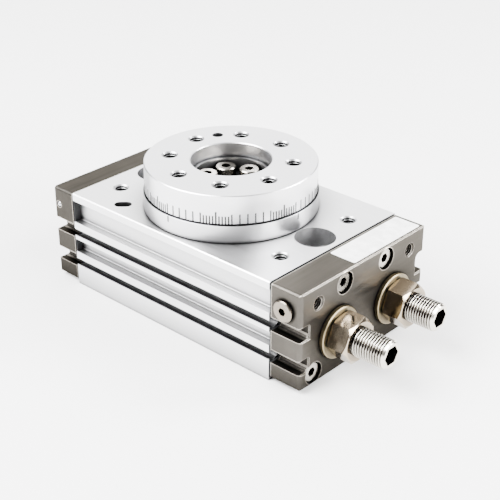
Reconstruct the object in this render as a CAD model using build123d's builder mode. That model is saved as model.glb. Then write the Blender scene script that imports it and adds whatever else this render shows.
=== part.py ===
from build123d import *

import math
import os

os.makedirs("parts", exist_ok=True)

# Pneumatic rotary table: two rack pistons side by side turn one pinion, which carries the round table.
# Millimetres. The origin is on the table's axis in the mounting plane, +Z up, and +X runs along the
# body towards the end cover with the two adjusting bolts. Left is the -Y side and right the +Y side.

# Main sizes of the housing
body_width = 65.0
body_height = 36.5
cover_seat = 47.5
near_cover_thickness = 12.0
far_cover_thickness = 10.0
near_gasket_thickness = 0.8
far_gasket_thickness = 0.5
gasket_inset = 0.4
cover_foot_gap = 1.2
cover_top_gap = 0.2
cover_corner_radius = 1.2
near_corner_radius = 1.5
far_corner_radius = 0.8
cover_edge_chamfer = 0.4
body_edge_chamfer = 0.35

# Side profile of the extruded body: two recessed faces, each above a lip and a round switch groove
ledge_height = 2.8
recess_depth = 3.0
recess_corner_radius = 0.5
upper_groove_height = 21.3
groove_pitch = 12.0
groove_radius = 2.1
groove_mouth = 2.6
groove_lip_height = 4.1
groove_land_depth = 2.9

# Notches that continue the switch grooves through the covers
notch_depth = 4.4
notch_below_groove = 2.1
notch_above_groove = 2.9
wide_notch_above_groove = 5.3
notch_corner_radius = 0.6
wide_notch_corner_radius = 1.8

# Rack and pinion
gear_module = 1.0
pinion_teeth = 16
pressure_angle = 20.0
backlash = 0.2
swing_range = 190.0
rest_angle = -11.3
piston_spacing = 28.6
piston_bore_radius = 9.0
piston_play = 0.08
ring_play = 0.03
piston_length = 66.0
piston_end_chamfer = 0.6
rack_spaces = 13
rack_flat_margin = 1.0
tip_clearance = 0.25
seal_width = 2.2
seal_depth = 1.7
seal_rounding = 0.55
seal_end_land = 1.6
wear_ring_width = 2.0
wear_ring_depth = 1.0
magnet_width = 2.2
magnet_depth = 1.9
magnet_cover = 0.35
ring_land = 1.0
groove_side_play = 0.05

# Table
table_radius = 30.0
table_thickness = 10.0
table_edge_chamfer = 0.3
table_gap = 0.4
retainer_height = 6.6
retainer_radius = 30.5
retainer_edge_chamfer = 0.3
centring_bore_radius = 14.0
centring_bore_depth = 5.2
recess_radius = 12.7
recess_floor_drop = 10.3
hub_floor_thickness = 2.8
hub_radius = 15.3
hub_play = 0.6
table_hole_circle = 43.0
table_hole_count = 8
table_hole_radius = 2.5
table_hole_depth = 8.0
table_pin_hole_radius = 2.0
table_pin_hole_depth = 5.0
table_pin_hole_step = 3.5
hole_chamfer = 0.45

# Ball bearings: bore, outer diameter and width
top_bearing_bore = 25.0
top_bearing_outer = 42.0
top_bearing_width = 9.0
top_ball_radius = 2.4
top_ball_count = 14
low_bearing_bore = 12.0
low_bearing_outer = 21.0
low_bearing_width = 5.0
low_ball_radius = 1.35
low_ball_count = 12
ring_wall_share = 0.32
race_play = 0.1
inner_ring_play = 0.4
ring_chamfer = 0.3
cage_share = 0.45

# Pinion shaft
shaft_bore_radius = 4.5
pinion_collar_radius = 10.0
pinion_shoulder_radius = 14.2
pinion_shoulder_height = 0.9
pinion_low_collar_radius = 7.0
pinion_low_collar_height = 0.7
pinion_foot_clearance = 0.3
bearing_stand_out = 2.0
tooth_width = 16.0
chamber_radius = 10.8
shoulder_relief = 1.2
floor_thickness = 2.2
pilot_radius = 7.5
press_play = 0.02

# Screws: shank radius, head radius, head height and hexagon socket across flats
m4_radius = 2.0
m4_head_radius = 3.5
m4_head_height = 4.0
m4_socket = 3.0
m4_socket_depth = 2.0
head_edge_chamfer = 0.3
head_play = 0.4
head_sink = 0.9
cover_screw_grip = 8.0
upper_cover_screw_spacing = 21.5
upper_cover_screw_height = 32.0
lower_cover_screw_inset = 7.1
lower_cover_screw_height = 5.2
table_screw_circle = 17.2
table_screw_count = 6
table_screw_length = 10.0
retainer_screw_circle = 51.2
retainer_screw_count = 4
retainer_screw_length = 10.0
retainer_head_sink = 0.4
thread_end_room = 0.5
parallel_pin_radius = 1.5
parallel_pin_length = 8.0
parallel_pin_circle = 18.0

# Adjusting bolts with lock nuts and seal washers
bolt_radius = 4.95
bolt_play = 0.05
bolt_length = 32.0
bolt_end_chamfer = 0.7
left_bolt_protrusion = 21.7
right_bolt_protrusion = 20.0
bolt_socket = 6.0
bolt_socket_depth = 5.0
washer_radius = 9.0
washer_rubber_radius = 6.3
washer_thickness = 1.8
nut_across_flats = 14.0
nut_thickness = 7.8
nut_chamfer_height = 0.9
nut_face_radius = 6.7
left_nut_turn = 8.0
right_nut_turn = 11.0

# Air ports and plugs
port_inset = 8.7
port_height = 30.2
port_radius = 2.1
port_depth = 8.5
passage_radius = 1.25
channel_depth = 1.5
channel_reach = 8.5
plug_distance = 5.5
plug_height = 28.8
plug_head_radius = 3.7
plug_head_thickness = 1.0
plug_gasket_thickness = 0.3
plug_gasket_radius = 3.4
plug_shank_length = 4.0
plug_socket = 2.5
plug_socket_depth = 1.0
ball_plug_radius = 1.25
ball_plug_inset = 2.4
ball_plug_sink = 1.0
ball_plug_height = 29.7

# Mounting holes of the body
mount_hole_spacing = 76.0
mount_hole_radius = 4.3
counterbore_radius = 7.0
counterbore_depth = 8.5
body_thread_spacing_x = 76.0
body_thread_spacing_y = 35.0
body_thread_radius = 2.5
body_thread_depth = 9.0
slot_circle = 75.6
slot_bearing = 223.9
slot_width = 4.0
slot_length = 6.2
slot_depth = 5.0

# Worked-out places along the body
near_end = cover_seat + near_cover_thickness
far_end = -cover_seat - far_cover_thickness
body_near_face = cover_seat - near_gasket_thickness
body_far_face = -cover_seat + far_gasket_thickness
body_length = body_near_face - body_far_face
half_width = body_width / 2
groove_heights = (upper_groove_height, upper_groove_height - groove_pitch)
cover_top = body_height - cover_top_gap
nut_seat = near_end + washer_thickness
plug_x = cover_seat + plug_distance
port_spacing = body_width - 2 * port_inset
lower_cover_screw_spacing = body_width - 2 * lower_cover_screw_inset

# Worked-out heights of the turning parts
table_underside = body_height + retainer_height + table_gap
table_top = table_underside + table_thickness
retainer_top = body_height + retainer_height
recess_floor = table_top - recess_floor_drop
pinion_top = recess_floor - hub_floor_thickness
top_bearing_high = body_height + bearing_stand_out
top_bearing_low = top_bearing_high - top_bearing_width
low_bearing_high = floor_thickness + low_bearing_width
pinion_foot = floor_thickness + pinion_foot_clearance
teeth_low = low_bearing_high + pinion_low_collar_height
teeth_high = teeth_low + tooth_width
piston_height = (teeth_low + teeth_high) / 2

# Worked-out gear sizes
pitch_radius = gear_module * pinion_teeth / 2
tip_radius = pitch_radius + gear_module
root_depth = gear_module + tip_clearance
rack_pitch = math.pi * gear_module
piston_offset = piston_spacing / 2
piston_radius = piston_bore_radius - piston_play
ring_radius = piston_bore_radius - ring_play
piston_travel = math.radians(swing_range) * pitch_radius
rest_shift = math.radians(rest_angle) * pitch_radius
rack_flat_length = piston_travel + 2 * (tip_radius + rack_flat_margin)

hexagon_sides = 6
chamfer_angle = 45.0
countersink_angle = 90.0
same_radius = 0.01
LEFT = -1
RIGHT = 1
SIDES = (LEFT, RIGHT)
UP = Plane.XY
ALONG = Plane.YZ
CENTRE = Align.CENTER
LOW = Align.MIN
HIGH = Align.MAX


def save(piece, name):
    """Labels a finished piece and writes its STEP file."""
    piece.label = name
    export_step(piece, f"parts/{name}.step")


def turned_face(points):
    """A closed outline of (radius, height) points beside the Z axis, ready to revolve about it."""
    with BuildSketch(Plane.XZ) as face:
        with BuildLine():
            Polyline(*points, close=True)
        make_face()
    return face.sketch


def body_section():
    """The body's section, drawn as (y, z): a block with two recesses and two round grooves on each side."""
    recess_tops = (body_height - ledge_height, upper_groove_height - groove_land_depth)
    with BuildSketch() as section:
        Rectangle(body_width, body_height, align=(CENTRE, LOW))
        chamfer(section.vertices().group_by(Axis.Y)[-1], body_edge_chamfer)
        for groove_height, recess_top in zip(groove_heights, recess_tops):
            recess_low = groove_height + groove_lip_height
            recess_middle = (recess_top + recess_low) / 2
            for side in SIDES:
                with Locations((side * half_width, recess_middle)):
                    RectangleRounded(2 * recess_depth, recess_top - recess_low, recess_corner_radius,
                                     mode=Mode.SUBTRACT)
                with Locations((side * (half_width - groove_radius), groove_height)):
                    Circle(groove_radius, mode=Mode.SUBTRACT)
                with Locations((side * half_width, groove_height)):
                    Rectangle(2 * groove_radius, groove_mouth, mode=Mode.SUBTRACT)
    return section.sketch


def cover_section():
    """The section of an end cover, drawn as (y, z): rounded corners, and notches at the switch grooves."""
    cover_height = cover_top - cover_foot_gap
    with BuildSketch() as section:
        with Locations((0, cover_foot_gap + cover_height / 2)):
            RectangleRounded(body_width, cover_height, cover_corner_radius)
        for groove_height in groove_heights:
            for side in SIDES:
                rise = notch_above_groove if side == LEFT else wide_notch_above_groove
                rounding = notch_corner_radius if side == LEFT else wide_notch_corner_radius
                notch_height = notch_below_groove + rise
                notch_middle = groove_height + (rise - notch_below_groove) / 2
                with Locations((side * half_width, notch_middle)):
                    RectangleRounded(2 * notch_depth, notch_height, rounding, mode=Mode.SUBTRACT)
                with Locations((side * half_width, groove_height - notch_below_groove)):
                    Rectangle(2 * notch_depth, rounding, align=(CENTRE, LOW), mode=Mode.SUBTRACT)
    return section.sketch


def cover_block(outer_end, thickness, outwards, corner_radius):
    """An undrilled end cover: chamfered round its outer face and rounded at its upright corners."""
    chamfer_start = outer_end - outwards * cover_edge_chamfer
    with BuildPart() as block:
        with BuildSketch(ALONG.offset(chamfer_start)):
            add(cover_section())
        extrude(amount=-outwards * (thickness - cover_edge_chamfer))
        with BuildSketch(ALONG.offset(chamfer_start)):
            add(cover_section())
        extrude(amount=outwards * cover_edge_chamfer, taper=chamfer_angle)
        with BuildSketch():
            with Locations((outer_end - outwards * thickness, 0)):
                RectangleRounded(2 * thickness, body_width, corner_radius)
        extrude(amount=body_height, mode=Mode.INTERSECT)
    return block.part


def cover_screw_places():
    """The four cap screws of a cover, as (y, z) points."""
    upper = upper_cover_screw_spacing / 2
    lower = lower_cover_screw_spacing / 2
    return [(-upper, upper_cover_screw_height), (upper, upper_cover_screw_height),
            (-lower, lower_cover_screw_height), (lower, lower_cover_screw_height)]


def port_places():
    """The two air ports, as (y, z) points."""
    return [(side * port_spacing / 2, port_height) for side in SIDES]


def piston_places():
    """The axes of the two piston bores, as (y, z) points."""
    return [(side * piston_offset, piston_height) for side in SIDES]


def channel_turn():
    """The slope of the air channel from a port down to its piston bore, for the right side."""
    return math.degrees(math.atan2(piston_height - port_height, piston_offset - port_spacing / 2))


def channel_faces():
    """The air channels in a cover's inner face, drawn as (y, z), one from each port towards its bore."""
    with BuildSketch() as channels:
        for side in SIDES:
            turn = channel_turn() if side == RIGHT else 180 - channel_turn()
            middle_y = side * port_spacing / 2 + channel_reach / 2 * math.cos(math.radians(turn))
            middle_z = port_height + channel_reach / 2 * math.sin(math.radians(turn))
            with Locations(Location((middle_y, middle_z), turn)):
                SlotCenterToCenter(channel_reach, 2 * passage_radius)
    return channels.sketch


def hexagon(across_flats, turn=0.0):
    """A hexagon with a corner at the given angle."""
    with BuildSketch() as outline:
        RegularPolygon(across_flats / 2, hexagon_sides, major_radius=False, rotation=turn)
    return outline.sketch


def cap_screw(length):
    """An M4 cap screw standing on the XY plane: head above, shank below."""
    with BuildPart() as screw:
        Cylinder(m4_head_radius, m4_head_height, align=(CENTRE, CENTRE, LOW))
        chamfer(screw.edges().group_by(Axis.Z)[-1], head_edge_chamfer)
        Cylinder(m4_radius, length, align=(CENTRE, CENTRE, HIGH))
        with BuildSketch(UP.offset(m4_head_height)):
            add(hexagon(m4_socket))
        extrude(amount=-m4_socket_depth, mode=Mode.SUBTRACT)
    return screw.part


def tooth_face():
    """One involute tooth of the pinion, centred on +X, from just inside the root circle to the tip."""
    base_radius = pitch_radius * math.cos(math.radians(pressure_angle))
    inner_radius = pitch_radius - root_depth - tip_clearance
    flank_steps = 4

    def involute(angle):
        return math.tan(angle) - angle

    pitch_half = (rack_pitch - backlash) / 4 / pitch_radius
    start_half = pitch_half + involute(math.radians(pressure_angle))
    flank = []
    for step in range(flank_steps + 1):
        radius = base_radius + (tip_radius - base_radius) * step / flank_steps
        half = start_half - involute(math.acos(min(1.0, base_radius / radius)))
        flank.append((radius * math.cos(half), radius * math.sin(half)))
    mirrored = [(x, -y) for x, y in flank]
    foot = (inner_radius * math.cos(start_half), inner_radius * math.sin(start_half))
    with BuildSketch() as tooth:
        with BuildLine():
            Spline(*flank)
            ThreePointArc(flank[-1], (tip_radius, 0), mirrored[-1])
            Spline(*mirrored)
            Polyline(flank[0], foot, (foot[0], -foot[1]), mirrored[0])
        make_face()
    return tooth.sketch


def ring_wall(bore, outer):
    """How thick each ring of a ball bearing is across its shoulder."""
    return ring_wall_share * (outer - bore) / 2


def bearing_ring(inner_radius, outer_radius, low, width, ball_circle, ball_radius):
    """One ring of a ball bearing, with its ball groove turned into it."""
    with BuildPart() as ring:
        revolve(turned_face([(inner_radius, low), (outer_radius, low),
                             (outer_radius, low + width), (inner_radius, low + width)]), axis=Axis.Z)
        chamfer(ring.edges(), ring_chamfer)
        with BuildSketch(Plane.XZ):
            with Locations((ball_circle, low + width / 2)):
                Circle(ball_radius + race_play)
        revolve(axis=Axis.Z, mode=Mode.SUBTRACT)
    return ring.part


def ball_set(ball_circle, ball_radius, count, height, turn):
    """The balls of one bearing."""
    with BuildPart(UP.offset(height)) as balls:
        with PolarLocations(ball_circle, count, start_angle=turn):
            Sphere(ball_radius)
    return balls.part


def ball_cage(ball_circle, ball_radius, count, height, turn):
    """The cage that keeps the balls of one bearing apart."""
    wall = cage_share * ball_radius
    rise = ball_radius + wall / 2
    with BuildPart() as cage:
        with BuildSketch(Plane.XZ):
            with Locations((ball_circle, height)):
                Rectangle(wall, 2 * rise)
        revolve(axis=Axis.Z)
        with Locations(UP.offset(height)):
            with PolarLocations(ball_circle, count, start_angle=turn):
                Cylinder(ball_radius + race_play, 2 * ball_radius, rotation=(0, 90, 0), mode=Mode.SUBTRACT)
    return cage.part


# Body: an extruded aluminium block, bored for the pistons and for the pinion
def make_body():
    with BuildPart() as body:
        with BuildSketch(ALONG.offset(body_far_face)):
            add(body_section())
        extrude(amount=body_length)
        with BuildSketch(ALONG.offset(body_far_face)):
            with Locations(*piston_places()):
                Circle(piston_bore_radius)
            with Locations(*port_places()):
                Circle(passage_radius)
        extrude(amount=body_length, mode=Mode.SUBTRACT)
        housing_radius = top_bearing_outer / 2 + press_play
        relief_radius = top_bearing_outer / 2 - ring_wall(top_bearing_bore, top_bearing_outer)
        low_housing_radius = low_bearing_outer / 2 + press_play
        revolve(turned_face([(0, 0), (pilot_radius, 0), (pilot_radius, floor_thickness),
                             (low_housing_radius, floor_thickness), (low_housing_radius, low_bearing_high),
                             (chamber_radius, low_bearing_high),
                             (chamber_radius, top_bearing_low - shoulder_relief),
                             (relief_radius, top_bearing_low - shoulder_relief),
                             (relief_radius, top_bearing_low), (housing_radius, top_bearing_low),
                             (housing_radius, body_height), (0, body_height)]),
                axis=Axis.Z, mode=Mode.SUBTRACT)
        with Locations(UP.offset(body_height)):
            with GridLocations(mount_hole_spacing, 0, 2, 1):
                CounterBoreHole(mount_hole_radius, counterbore_radius, counterbore_depth)
            with GridLocations(body_thread_spacing_x, body_thread_spacing_y, 2, 2):
                CounterSinkHole(body_thread_radius, body_thread_radius + hole_chamfer, body_thread_depth,
                                countersink_angle)
            with PolarLocations(retainer_screw_circle / 2, retainer_screw_count,
                                start_angle=180 / retainer_screw_count):
                Hole(m4_radius + press_play, retainer_thread_depth())
        with BuildSketch(UP.offset(body_height)):
            with PolarLocations(slot_circle / 2, 1, start_angle=slot_bearing):
                SlotOverall(slot_length, slot_width)
        extrude(amount=-slot_depth, mode=Mode.SUBTRACT)
        for face, inwards in ((body_near_face, -1), (body_far_face, 1)):
            with BuildSketch(ALONG.offset(face)):
                with Locations(*cover_screw_places()):
                    Circle(m4_radius + press_play)
            extrude(amount=inwards * (cover_screw_grip + thread_end_room), mode=Mode.SUBTRACT)
    save(body.part, "body")


def retainer_thread_depth():
    """How deep the retainer screws' holes go below the top of the body."""
    head_seat = retainer_top - retainer_head_sink - m4_head_height
    return body_height - (head_seat - retainer_screw_length) + thread_end_room


def make_gasket(name, plane, thickness):
    """A flat gasket between the body and a cover, open at the bores, passages and screws."""
    gasket_height = cover_top - cover_foot_gap - 2 * gasket_inset
    with BuildPart() as gasket:
        with BuildSketch(plane):
            with Locations((0, cover_foot_gap + gasket_inset + gasket_height / 2)):
                Rectangle(body_width - 2 * gasket_inset, gasket_height)
        extrude(amount=thickness)
        with BuildSketch(plane):
            with Locations(*piston_places()):
                Circle(piston_bore_radius)
            with Locations(*port_places()):
                Circle(passage_radius)
            with Locations(*cover_screw_places()):
                Circle(m4_radius + press_play)
            for groove_height in groove_heights:
                for side in SIDES:
                    with Locations((side * half_width, groove_height)):
                        Rectangle(2 * notch_depth, 2 * notch_below_groove)
        extrude(amount=thickness, mode=Mode.SUBTRACT)
    save(gasket.part, name)


# Near cover: the end with the air ports, the adjusting bolts and the label
def make_near_cover():
    seat_depth = m4_head_height + head_sink
    with BuildPart() as cover:
        add(cover_block(near_end, near_cover_thickness, 1, near_corner_radius))
        front = ALONG.offset(near_end)
        with Locations(front):
            with Locations(*cover_screw_places()):
                CounterBoreHole(m4_radius + press_play, m4_head_radius + head_play, seat_depth)
            with Locations(*port_places()):
                CounterSinkHole(port_radius, port_radius + hole_chamfer, port_depth, countersink_angle)
            with Locations(*piston_places()):
                Hole(bolt_radius + bolt_play)
        with BuildSketch(ALONG.offset(cover_seat)):
            with Locations(*port_places()):
                Circle(passage_radius)
        extrude(amount=near_cover_thickness - port_depth, mode=Mode.SUBTRACT)
        with BuildSketch(ALONG.offset(cover_seat)):
            add(channel_faces())
        extrude(amount=channel_depth, mode=Mode.SUBTRACT)
        with BuildSketch(Plane.XZ.offset(half_width)):
            with Locations((plug_x, plug_height)):
                Circle(port_radius)
        extrude(amount=-(half_width - port_spacing / 2), mode=Mode.SUBTRACT)
    save(cover.part, "near_cover")


# Far cover: the plain end, with one drilled passage closed by a pressed ball
def make_far_cover():
    seat_depth = m4_head_height + head_sink
    with BuildPart() as cover:
        add(cover_block(far_end, far_cover_thickness, -1, far_corner_radius))
        back = Plane(origin=(far_end, 0, 0), x_dir=(0, -1, 0), z_dir=(-1, 0, 0))
        with Locations(back):
            with Locations(*cover_screw_places()):
                CounterBoreHole(m4_radius + press_play, m4_head_radius + head_play, seat_depth)
        with BuildSketch(ALONG.offset(-cover_seat)):
            with Locations(*port_places()):
                Circle(passage_radius)
        extrude(amount=-(far_cover_thickness - ball_plug_inset), mode=Mode.SUBTRACT)
        with BuildSketch(ALONG.offset(-cover_seat)):
            add(channel_faces())
        extrude(amount=-channel_depth, mode=Mode.SUBTRACT)
        with BuildSketch(Plane.XZ.offset(half_width)):
            with Locations((far_end + ball_plug_inset, ball_plug_height)):
                Circle(ball_plug_radius)
        extrude(amount=-(half_width - port_spacing / 2), mode=Mode.SUBTRACT)
    save(cover.part, "far_cover")


def make_cover_screws(name, seat, outwards, seat_to_body):
    """Four cap screws of one cover, with their heads on the counterbores."""
    screw = cap_screw(seat_to_body + cover_screw_grip)
    plane = Plane(origin=(seat, 0, 0), x_dir=(0, outwards, 0), z_dir=(outwards, 0, 0))
    places = [(outwards * y, z) for y, z in cover_screw_places()]
    with BuildPart(plane) as screws:
        with Locations(*places):
            add(screw)
    save(screws.part, name)


# Retainer ring over the top bearing
def make_retainer():
    ring_inner = top_bearing_outer / 2 - ring_wall(top_bearing_bore, top_bearing_outer)
    lip_radius = hub_radius + hub_play
    lip_low = top_bearing_high + inner_ring_play
    with BuildPart() as retainer:
        revolve(turned_face([(top_bearing_outer / 2 + press_play, body_height),
                             (retainer_radius, body_height),
                             (retainer_radius, retainer_top), (lip_radius, retainer_top),
                             (lip_radius, lip_low), (ring_inner, lip_low), (ring_inner, top_bearing_high),
                             (top_bearing_outer / 2 + press_play, top_bearing_high)]), axis=Axis.Z)
        rim = retainer.edges().filter_by(GeomType.CIRCLE)
        outer_rims = rim.filter_by(lambda edge: abs(edge.radius - retainer_radius) < same_radius)
        chamfer(outer_rims, retainer_edge_chamfer)
        with Locations(UP.offset(retainer_top)):
            with PolarLocations(retainer_screw_circle / 2, retainer_screw_count,
                                start_angle=180 / retainer_screw_count):
                CounterBoreHole(m4_radius + press_play, m4_head_radius + head_play,
                                m4_head_height + retainer_head_sink)
    save(retainer.part, "bearing_retainer")


def make_retainer_screws():
    """The screws that hold the retainer ring on the body."""
    screw = cap_screw(retainer_screw_length)
    with BuildPart(UP.offset(retainer_top - retainer_head_sink - m4_head_height)) as screws:
        with PolarLocations(retainer_screw_circle / 2, retainer_screw_count,
                            start_angle=180 / retainer_screw_count):
            add(screw)
    save(screws.part, "retainer_screws")


# Table: the turning plate with its centring bore, its tapped holes and the hub that sits on the pinion
def make_table():
    with BuildPart() as table:
        revolve(turned_face([(shaft_bore_radius, pinion_top), (top_bearing_bore / 2 + press_play, pinion_top),
                             (top_bearing_bore / 2 + press_play, top_bearing_high),
                             (hub_radius, top_bearing_high), (hub_radius, table_underside),
                             (table_radius, table_underside), (table_radius, table_top),
                             (centring_bore_radius, table_top),
                             (centring_bore_radius, table_top - centring_bore_depth),
                             (recess_radius, table_top - centring_bore_depth),
                             (recess_radius, recess_floor), (shaft_bore_radius, recess_floor)]),
                axis=Axis.Z)
        rim = table.edges().filter_by(GeomType.CIRCLE)
        top_rims = rim.group_by(Axis.Z)[-1]
        chamfer(top_rims, table_edge_chamfer)
        with Locations(UP.offset(table_top)):
            with PolarLocations(table_hole_circle / 2, table_hole_count, start_angle=rest_angle):
                CounterSinkHole(table_hole_radius, table_hole_radius + hole_chamfer, table_hole_depth,
                                countersink_angle)
            with PolarLocations(table_hole_circle / 2, 1, start_angle=pin_bearing()):
                Hole(table_pin_hole_radius, table_pin_hole_depth)
        with Locations(UP.offset(recess_floor)):
            with PolarLocations(table_screw_circle / 2, table_screw_count, start_angle=pin_bearing()):
                Hole(m4_radius + press_play, hub_floor_thickness)
            with PolarLocations(parallel_pin_circle / 2, 1, start_angle=parallel_pin_bearing()):
                Hole(parallel_pin_radius + press_play, hub_floor_thickness)
    save(table.part, "rotary_table")


def pin_bearing():
    """The direction of the table's pin hole: halfway between two tapped holes, at the back left."""
    return rest_angle + table_pin_hole_step * 360 / table_hole_count


def parallel_pin_bearing():
    """The parallel pin stands halfway between two table screws."""
    return pin_bearing() + 180 / table_screw_count


def make_table_screws():
    """The screws that hold the table on the pinion."""
    screw = cap_screw(table_screw_length)
    with BuildPart(UP.offset(recess_floor)) as screws:
        with PolarLocations(table_screw_circle / 2, table_screw_count, start_angle=pin_bearing()):
            add(screw)
    save(screws.part, "table_screws")


def make_parallel_pin():
    """The pin that keys the table to the pinion."""
    with BuildPart(UP.offset(recess_floor - parallel_pin_length)) as pin:
        with PolarLocations(parallel_pin_circle / 2, 1, start_angle=parallel_pin_bearing()):
            Cylinder(parallel_pin_radius, parallel_pin_length, align=(CENTRE, CENTRE, LOW))
        chamfer(pin.edges().filter_by(GeomType.CIRCLE), head_edge_chamfer)
    save(pin.part, "parallel_pin")


# Pinion: a hollow shaft with the gear teeth between two bearing journals
def make_pinion():
    journal_radius = top_bearing_bore / 2
    root_radius = pitch_radius - root_depth
    with BuildPart() as pinion:
        revolve(turned_face([(shaft_bore_radius, pinion_foot), (low_bearing_bore / 2, pinion_foot),
                             (low_bearing_bore / 2, low_bearing_high),
                             (pinion_low_collar_radius, low_bearing_high),
                             (pinion_low_collar_radius, teeth_low), (root_radius, teeth_low),
                             (root_radius, teeth_high), (pinion_collar_radius, teeth_high),
                             (pinion_collar_radius, top_bearing_low - pinion_shoulder_height),
                             (pinion_shoulder_radius, top_bearing_low - pinion_shoulder_height),
                             (pinion_shoulder_radius, top_bearing_low), (journal_radius, top_bearing_low),
                             (journal_radius, pinion_top), (shaft_bore_radius, pinion_top)]),
                axis=Axis.Z)
        tooth = tooth_face()
        with BuildSketch(UP.offset(teeth_low)):
            with PolarLocations(0, pinion_teeth, start_angle=rest_angle + 90):
                add(tooth)
        extrude(amount=teeth_high - teeth_low)
        with Locations(UP.offset(pinion_top)):
            with PolarLocations(table_screw_circle / 2, table_screw_count, start_angle=pin_bearing()):
                Hole(m4_radius + press_play, table_screw_length - hub_floor_thickness + thread_end_room)
            with PolarLocations(parallel_pin_circle / 2, 1, start_angle=parallel_pin_bearing()):
                Hole(parallel_pin_radius + press_play, parallel_pin_length - hub_floor_thickness)
    save(pinion.part, "pinion")


# Bearings: two rings, a set of balls and a cage each
def make_bearing(name, bore, outer, low, width, ball_radius, count):
    ball_circle = (bore + outer) / 4
    wall = ring_wall(bore, outer)
    turn = rest_angle
    inner_ring = bearing_ring(bore / 2 + press_play, bore / 2 + wall, low, width, ball_circle, ball_radius)
    outer_ring = bearing_ring(outer / 2 - wall, outer / 2, low, width, ball_circle, ball_radius)
    save(inner_ring, f"{name}_inner_ring")
    save(outer_ring, f"{name}_outer_ring")
    save(ball_set(ball_circle, ball_radius, count, low + width / 2, turn), f"{name}_balls")
    save(ball_cage(ball_circle, ball_radius, count, low + width / 2, turn), f"{name}_cage")


# Pistons: each is a rack in the middle and carries a seal and a wear ring at both ends, and one magnet
def ring_places():
    """Where the grooves of a piston end lie, measured from the piston's middle."""
    seal_middle = piston_length / 2 - seal_end_land - seal_width / 2
    magnet_middle = seal_middle - seal_width / 2 - ring_land - magnet_width / 2
    wear_middle = magnet_middle - magnet_width / 2 - ring_land - wear_ring_width / 2
    return seal_middle, magnet_middle, wear_middle


def piston_middle(side):
    """The left piston follows the table forwards along X and the right one backwards."""
    return -side * rest_shift


def ring_grooves():
    """The grooves of a piston: (middle, width, depth), for both ends."""
    seal_middle, magnet_middle, wear_middle = ring_places()
    grooves = [(magnet_middle, magnet_width, magnet_depth + magnet_cover)]
    for end in (-1, 1):
        grooves.append((end * seal_middle, seal_width, seal_depth))
        grooves.append((end * wear_middle, wear_ring_width, wear_ring_depth))
    return grooves


def make_piston(name, side):
    middle = piston_middle(side)
    axis_y = side * piston_offset
    tip_plane = side * (pitch_radius - gear_module)
    half_space_at_pitch = (rack_pitch + backlash) / 4
    slope = math.tan(math.radians(pressure_angle))
    tip_half = half_space_at_pitch + gear_module * slope
    root_half = half_space_at_pitch - root_depth * slope
    space_depth = side * (gear_module + root_depth)
    with BuildPart() as piston:
        with BuildSketch(ALONG.offset(middle - piston_length / 2)):
            with Locations((axis_y, piston_height)):
                Circle(piston_radius)
        extrude(amount=piston_length)
        chamfer(piston.edges().filter_by(GeomType.CIRCLE), piston_end_chamfer)
        for place, width, depth in ring_grooves():
            with BuildSketch(ALONG.offset(middle + place - width / 2 - groove_side_play)):
                with Locations((axis_y, piston_height)):
                    Circle(piston_bore_radius)
                    Circle(ring_radius - depth, mode=Mode.SUBTRACT)
            extrude(amount=width + 2 * groove_side_play, mode=Mode.SUBTRACT)
        with BuildSketch(UP.offset(piston_height)):
            with Locations((middle, tip_plane)):
                flat_align = HIGH if side == RIGHT else LOW
                Rectangle(rack_flat_length, piston_radius, align=(CENTRE, flat_align))
                with GridLocations(rack_pitch, 0, rack_spaces, 1):
                    Polygon((-tip_half, 0), (-root_half, space_depth), (root_half, space_depth),
                            (tip_half, 0), align=None)
        extrude(amount=piston_radius, both=True, mode=Mode.SUBTRACT)
    save(piston.part, name)


def piston_ring(side, place, width, depth, cover, rounding):
    """One ring in a groove of a piston."""
    axis_y = side * piston_offset
    outer = ring_radius - cover
    with BuildPart() as ring:
        with BuildSketch(ALONG.offset(piston_middle(side) + place - width / 2)):
            with Locations((axis_y, piston_height)):
                Circle(outer)
                Circle(ring_radius - depth - cover + press_play, mode=Mode.SUBTRACT)
        extrude(amount=width)
        circles = ring.edges().filter_by(GeomType.CIRCLE)
        outer_edges = circles.filter_by(lambda edge: abs(edge.radius - outer) < same_radius)
        fillet(outer_edges, rounding)
    return ring.part


def make_piston_rings(name, side):
    seal_middle, magnet_middle, wear_middle = ring_places()
    with BuildPart() as seals:
        for end in (-1, 1):
            add(piston_ring(side, end * seal_middle, seal_width, seal_depth, 0.0, seal_rounding))
    save(seals.part, f"{name}_seals")
    with BuildPart() as wear_rings:
        for end in (-1, 1):
            add(piston_ring(side, end * wear_middle, wear_ring_width, wear_ring_depth, 0.0, ring_chamfer))
    save(wear_rings.part, f"{name}_wear_rings")
    magnet = piston_ring(side, magnet_middle, magnet_width, magnet_depth, magnet_cover, ring_chamfer)
    save(magnet, f"{name}_magnet")


# Adjusting bolts: long hexagon-socket bolts that stop the pistons
def make_adjusting_bolt(name, side, protrusion):
    outer_end = near_end + protrusion
    plane = Plane(origin=(outer_end, side * piston_offset, piston_height), x_dir=(0, 1, 0), z_dir=(1, 0, 0))
    with BuildPart() as bolt:
        with BuildSketch(plane):
            Circle(bolt_radius)
        extrude(amount=-bolt_length)
        chamfer(bolt.edges().filter_by(GeomType.CIRCLE), bolt_end_chamfer)
        with BuildSketch(plane):
            add(hexagon(bolt_socket))
        extrude(amount=-bolt_socket_depth, mode=Mode.SUBTRACT)
    save(bolt.part, name)


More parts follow.
